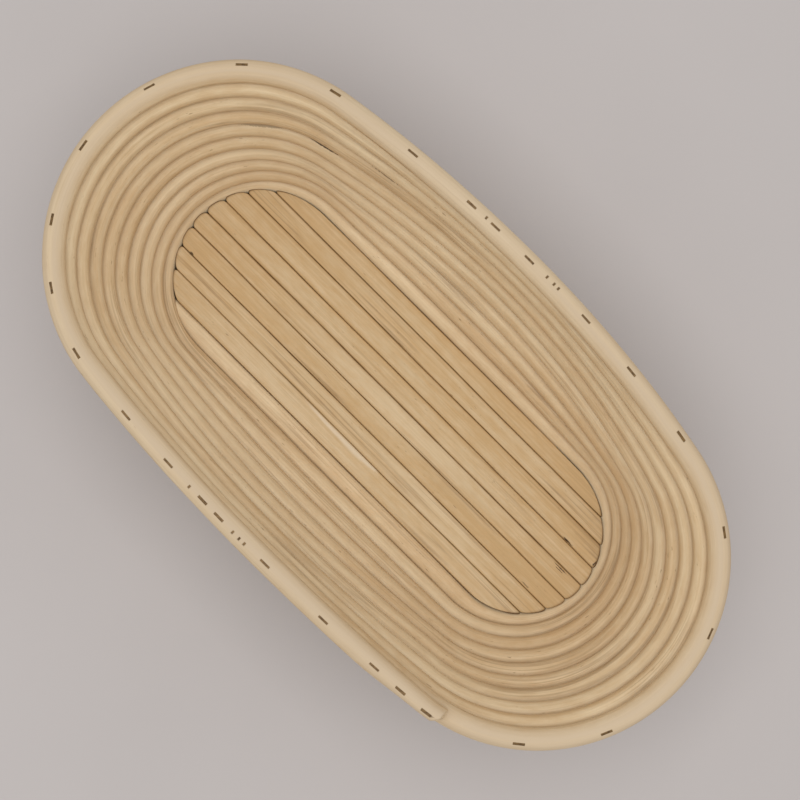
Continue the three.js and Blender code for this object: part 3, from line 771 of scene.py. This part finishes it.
def wallSurface(lengthGrid, around, crowd):  # middle, axes, angle and radius at each point
    centre = along(lengthGrid, linePoints)
    inward, above = along(lengthGrid, inwardAxis), along(lengthGrid, aboveAxis)
    turn = along(lengthGrid, outAngle) + around - crowd * np.sin(around)
    onTop = along(lengthGrid, onRim)
    radius = coilLine["caneRadius"] * (1 - onTop) + coilLine["rimRadius"] * onTop
    swell = slowWave(lengthGrid * wallShape["swellRate"], wallShape["swellSeed"])
    radius = radius * (1 + wallShape["swell"] * swell)
    # the straight start lies flat beside the floor canes
    pastStartEnd = smoothShare((lengthGrid - startEnd) / wallShape["startFlatFade"])
    besideFloor = (np.cos(turn) > 0) & (np.sin(turn) > 0)
    power = 2 + wallShape["startFlat"] * (1 - pastStartEnd) * besideFloor
    radius = radius / (np.abs(np.cos(turn)) ** power + np.abs(np.sin(turn)) ** power) ** (1 / power)
    # turns flatten against each other
    for angle, halfWay, present in ((upAngle, upHalf, upNear), (downAngle, downHalf, downNear)):
        towards = np.clip(np.cos(turn - along(lengthGrid, angle)), 0, 1) ** wallShape["contactPower"]
        radius = radius + (along(lengthGrid, halfWay) - radius) * towards * along(lengthGrid, present)
    # the rim's last stretch is shaved on its outside
    intoShave = wallShape["rimShaveFrom"] - (lineEnd - lengthGrid)
    shave = wallShape["rimEndShave"] * smoothShare(intoShave / wallShape["rimShaveOver"])
    radius = radius - shave * np.clip(-np.cos(turn), 0, 1) ** wallShape["shavePower"]
    return centre, inward, above, turn, radius


def makeWallCane(name, setup):
    isFirst, isLast = setup["from"] is None, setup["to"] is None
    first = 0.0 if isFirst else lengthAt(coil[setup["from"]] * loopSteps)
    last = lineEnd if isLast else lengthAt(coil[setup["to"]] * loopSteps)
    lengths = wallLengths(setup, first, last)
    sides = setup["sides"]
    around = 2 * math.pi * np.arange(sides) / sides - math.pi
    around = np.broadcast_to(around, (len(lengths), sides))
    grid = np.broadcast_to(lengths[:, None], around.shape).copy()
    # on the top turn, points crowd together along the rim
    topFrom = lengthAt(endStation - loopSteps) - wallShape["topLead"]
    topTurn = isLast * smoothShare((lengths - topFrom) / wallShape["topOver"])[:, None]
    crowd = wallShape["topCrowd"] * topTurn

    # slanted cuts slide the rows near an end
    centre, _, _, turn, radius = wallSurface(grid, around, crowd)
    inwardBy, upBy = radius * np.cos(turn), radius * np.sin(turn)
    slant = coil["spliceLength"] / coil["caneDiameter"]
    if not isFirst:
        grid += slant * upBy * (1 - smoothShare((grid - first) / wallShape["spliceBlend"]))
    if not isLast:
        grid += slant * upBy * smoothShare((grid - last) / wallShape["spliceBlend"] + 1)
    else:
        outside = np.maximum(wallShape["rimEndSquare"] - inwardBy, 0)
        cutBack = coil["rimEndSlant"] * upBy + wallShape["rimEndBevel"] * outside
        grid -= cutBack * smoothShare((grid - last) / wallShape["rimEndBlend"] + 1)
    if isFirst:  # the start is shaped to the next turn
        ys, zs = centre[0, :, 1] + inwardBy[0], centre[0, :, 2] + upBy[0]
        offset = -copedReach(ys, zs, wallShape["startReach"], -1) - linePoints[0, 0]
        grid += offset[None] * (1 - smoothShare(grid / (coilLine["leadIn"] + wallShape["startBlend"])))
    centre, inward, above, turn, radius = wallSurface(grid, around, crowd)

    slots, stainAndShade = slotsWithStainAndShade(centre + offAxis(inward, above, radius, turn), lengths, first, last)
    radius = radius - slots
    if isLast:  # the cut end of the rim has a softened edge
        nearEnd = np.clip(1 - (last - lengths) / wallShape["rimSoftOver"], 0, 1)
        radius = radius * (1 - wallShape["rimEndSoft"] * nearEnd ** 2)[:, None]
    rows = centre + offAxis(inward, above, radius, turn)

    # a spliced end shades on into the next cane, and cut faces follow the bend of the cane
    ringNormals, capRows = {}, {}
    for row, spliced in ((0, setup["from"]), (len(lengths) - 1, setup["to"])):
        if spliced:
            ringNormals[row] = offAxis(inward[row], above[row], 1.0, turn[row])
        capRows[row] = []
        for share in wallShape["capShares"]:
            place = grid[row].mean() + (grid[row] - grid[row].mean()) * share
            ring = offAxis(along(place, inwardAxis), along(place, aboveAxis), share * radius[row], turn[row])
            capRows[row].append(along(place, linePoints) + ring)

    # painted shade where the cane touches the turns above and below
    def grooveAt(angle, present):
        off = (turn - along(grid, angle) + math.pi) % (2 * math.pi) - math.pi
        return np.exp(-(off / wallShape["grooveWidth"]) ** 2) * along(grid, present)

    groove = wallShape["grooveDark"] * np.maximum(grooveAt(upAngle, upNear), grooveAt(downAngle, downNear))
    onRidge = np.clip(np.cos(turn - along(grid, outAngle) + wallShape["wearLean"]), 0, 1)
    wear = topTurn * onRidge ** wallShape["wearPower"]
    toneWave = slowWave(grid * wallShape["toneRate"], wallShape["toneSeed"])
    towardsEnd = (np.abs(centre[..., 0]) - wallShape["endToneFrom"]) / wallShape["endToneOver"]
    tone = wallShape["tone"] + wallShape["toneSwing"] * toneWave
    tone = tone + wallShape["endTone"] * np.clip(towardsEnd, 0, 1)
    grain = np.stack([grid * mm, radius * np.cos(turn) * mm, radius * np.sin(turn) * mm], -1)
    atPoints = {"grain": grain, "tone": tone, "wear": wear, "groove": groove, "stainAndShade": stainAndShade}
    girth = 2 * math.pi * coilLine["caneRadius"]
    piece = caneMesh(name, rows, atPoints, lengths, girth, wallFinish, wallShape["capShares"],
                     capRows, ringNormals)
    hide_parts(setup["node"])
    print(f"{name}: {(last - first) / 1000:.2f} m, {len(lengths)} rows of {sides}")


for caneName, caneSetup in wallCanes.items():
    makeWallCane(caneName, caneSetup)

# floor canes, flattened on top, of uneven widths, pressed edge to edge
floorCanes = {
    "rowStep": 1.5, "endRows": (0, 0.2, 0.45, 0.75, 1.2, 1.9), "halfHeight": 4.75, "capShares": (0.66, 0.33),
    "topFlat": 10.0, "crown": 0.025, "belowStep": 15, "sideUp": (0.0, 0.35, 0.6, 0.75),
    "crownAcross": (0.95, 0.92, 0.88, 0.83, 0.77, 0.7, 0.62, 0.53, 0.44, 0.35, 0.26, 0.17, 0.085),
    "firstEdge": -38.8, "seam": 0.01, "wander": 0.14, "wanderSeed": 2.3,
    "widths": (10.3, 9.9, 9.65, 9.7, 9.75, 10.15, 9.55, 8.7),
    "noseLength": 0.9, "noseDraw": 0.1, "scallop": {-1: 1.2, 1: 0.6}, "scallopPower": 3, "closedBelow": 0.6,
    "tone": (0.24, 0.22, 0.58, 0.26, 0.54, 0.6, 0.46, 0.66),
    "toneSwing": 0.12, "toneRate": 0.7, "toneSeed": 3.3,
    "edgeShade": 0.25, "endTone": 0.3, "endToneFrom": 60, "endToneOver": 50, "grainApart": 1.7,
    # grooveWidth and grooveDark set the painted shade in each groove, and the swing makes it uneven
    "grooveWidth": (0.30, 0.26, 0.30, 0.28, 0.50, 0.28, 0.34, 0.30, 0.30),
    "grooveDark": (0.85, 0.55, 0.75, 0.7, 0.85, 0.75, 0.8, 0.75, 0.75),
    "grooveSwing": 0.3, "grooveRate": 1.9, "grooveSeed": 3.1, "grooveLeast": 0.15,
    # painted contact shadow where each tip meets the first turn: its width, how much goes into the rust
    # colour, and how dark it is at each end
    "tipShadowWidth": 0.75, "tipShadow": 0.75,
    "tipShadowDark": {
        -1: (0.7, 0.9, 0.9, 0.9, 1.0, 1.0, 1.0, 0.9),
        1: (1.0, 0.9, 0.5, 0.6, 0.9, 1.0, 1.0, 0.9),
    },
}
# a strip peeled off the first cane beside the second: along, from the edge, half width
peeledStrip = {
    "line": ((-34, 0.6, 0.3), (-14, 1.4, 0.9), (4, 1.5, 1.3), (13, 1.1, 0.95), (18.5, 0.4, 0.45)),
    "startFade": 14, "endFade": 2, "edgePower": 4, "grooveLeast": 0.35, "grooveLead": 3,
}
stripAt, stripOff, stripHalf = (np.array(column) for column in zip(*peeledStrip["line"]))


def floorSection():  # shares of half width and of half height round a cane, from below
    below = np.radians(np.arange(-90, 0, floorCanes["belowStep"]))
    sideUp, crownAcross = np.array(floorCanes["sideUp"]), np.array(floorCanes["crownAcross"])
    flat = floorCanes["topFlat"]
    across = np.concatenate([np.cos(below), (1 - sideUp ** flat) ** (1 / flat), crownAcross])
    upward = np.concatenate([np.sin(below), sideUp, (1 - crownAcross ** flat) ** (1 / flat)])
    across = np.concatenate([across, [0], -across[:0:-1]])
    upward = np.concatenate([upward, [1], upward[:0:-1]])
    return across, upward * np.where(upward > 0, 1 - floorCanes["crown"] * across ** 2, 1)


floorEdges = floorMiddle + floorCanes["firstEdge"] + np.concatenate([[0], np.cumsum(floorCanes["widths"])])


def floorEdge(groove, x):  # a groove wanders a little along the floor, apart from the outer two
    inner = 0 < groove < coil["floorCanes"]
    wander = floorCanes["wander"] * slowWave(x, groove * floorCanes["wanderSeed"])
    return floorEdges[groove] + (wander if inner else 0)


def edgeDark(edge, x):  # how dark the painted shade in a groove is along the floor
    wave = slowWave(x * floorCanes["grooveRate"], edge * floorCanes["grooveSeed"])
    dark = floorCanes["grooveDark"][edge] + floorCanes["grooveSwing"] * wave
    dark = np.clip(dark, floorCanes["grooveLeast"], 1)
    if edge == 1:  # the groove beside the peeled strip is faint
        least = peeledStrip["grooveLeast"]
        pastStrip = smoothShare((x - stripAt[-1] + peeledStrip["grooveLead"]) / peeledStrip["endFade"])
        dark = dark * (least + (1 - least) * pastStrip)
    return dark


def makeFloorCane(number):
    name = f"floorCane{number}"
    across, upward = floorSection()
    halfHeight = floorCanes["halfHeight"]
    meanHalf = floorCanes["widths"][number - 1] / 2
    ys, zs = floorEdges[number - 1] + meanHalf * (1 + across), upward * halfHeight
    upper = np.clip(upward / floorCanes["closedBelow"], 0, 1)  # the tips are rounded on top only
    rounded = np.abs(across) ** floorCanes["scallopPower"] * upper
    reach = {way: copedReach(ys, zs, halfHeight, way) - floorCanes["scallop"][way] * rounded
             for way in (-1, 1)}
    lengths = reach[1] + reach[-1]
    length = lengths.max()
    nearEnd = np.array(floorCanes["endRows"]) / length
    steps = np.linspace(nearEnd[-1], 1 - nearEnd[-1], round(length / floorCanes["rowStep"]))
    share = np.concatenate([nearEnd[:-1], steps, 1 - nearEnd[-2::-1]])[:, None]
    grid = share * lengths - reach[-1]
    fromEnd = np.minimum(share, 1 - share) * lengths
    drawn = 1 - floorCanes["noseDraw"] * np.clip(1 - fromEnd / floorCanes["noseLength"], 0, 1) ** 2 * upper
    lowEdge, highEdge = floorEdge(number - 1, grid), floorEdge(number, grid)
    halfWidth = (highEdge - lowEdge) / 2 - floorCanes["seam"]
    rowYs = (lowEdge + highEdge) / 2 + across * halfWidth * drawn
    rows = np.stack([grid, rowYs, upward * halfHeight * drawn], -1)

    # painted shade along both edges, and a painted contact shadow round the tips
    fromEdge = (1 - np.abs(across)) * halfWidth
    groove, wear, stainAndShade = np.zeros(grid.shape), np.zeros(grid.shape), np.zeros(grid.shape)
    for edge, onSide in ((number - 1, across < 0), (number, across >= 0)):
        groove += onSide * edgeDark(edge, grid) * np.exp(-(fromEdge / floorCanes["grooveWidth"][edge]) ** 2)
    for way in (-1, 1):
        tip = floorCanes["tipShadowDark"][way][number - 1] * np.exp(-(fromEnd / floorCanes["tipShadowWidth"]) ** 2)
        tip = tip * (way * grid > 0)
        groove = np.maximum(groove, tip)
        stainAndShade = np.maximum(stainAndShade, floorCanes["tipShadow"] * tip)
    towardsEnd = np.clip((np.abs(grid) - floorCanes["endToneFrom"]) / floorCanes["endToneOver"], 0, 1)
    toneWave = slowWave(grid * floorCanes["toneRate"], number * floorCanes["toneSeed"])
    tone = floorCanes["tone"][number - 1] + floorCanes["endTone"] * towardsEnd
    # painted shade towards each cane's edges
    tone = tone + floorCanes["toneSwing"] * toneWave + floorCanes["edgeShade"] * across ** 4
    if number == 1:
        off = (fromEdge - np.interp(grid, stripAt, stripOff)) / np.interp(grid, stripAt, stripHalf)
        ends = smoothShare((grid - stripAt[0]) / peeledStrip["startFade"])
        ends = ends * smoothShare((stripAt[-1] - grid) / peeledStrip["endFade"])
        wear = np.exp(-off ** peeledStrip["edgePower"]) * ends * ((across > 0) & (upward > 0))
    grain = rows * mm + np.array([floorCanes["grainApart"] * number, 0, 0])
    atPoints = {"grain": grain, "tone": tone, "wear": wear, "groove": groove, "stainAndShade": stainAndShade}
    girth = 2 * math.pi * halfHeight
    piece = caneMesh(name, rows, atPoints, grid.mean(1), girth, floorFinish, floorCanes["capShares"])
    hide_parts(f"floor_cane_{number}")


for caneNumber in range(1, coil["floorCanes"] + 1):
    makeFloorCane(caneNumber)
print("floor canes made")

# staples, brads and battens keep their solids, with eased edges and their own finishes
hardware = {"wireEase": 0.00012, "battenEase": 0.0005, "easeSegments": 2}
wire, strip = wireFinish(), battenFinish()
for nodeName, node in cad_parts.items():
    isBatten = nodeName.startswith("underside_batten")
    if not isBatten and "staple" not in nodeName and "brad" not in nodeName:
        continue
    node.material_slots[0].material = strip if isBatten else wire
    ease = node.modifiers.new("easedEdges", "BEVEL")
    ease.width = hardware["battenEase"] if isBatten else hardware["wireEase"]
    ease.segments = hardware["easeSegments"]
    ease.limit_method = "ANGLE"
print("fasteners and battens finished")
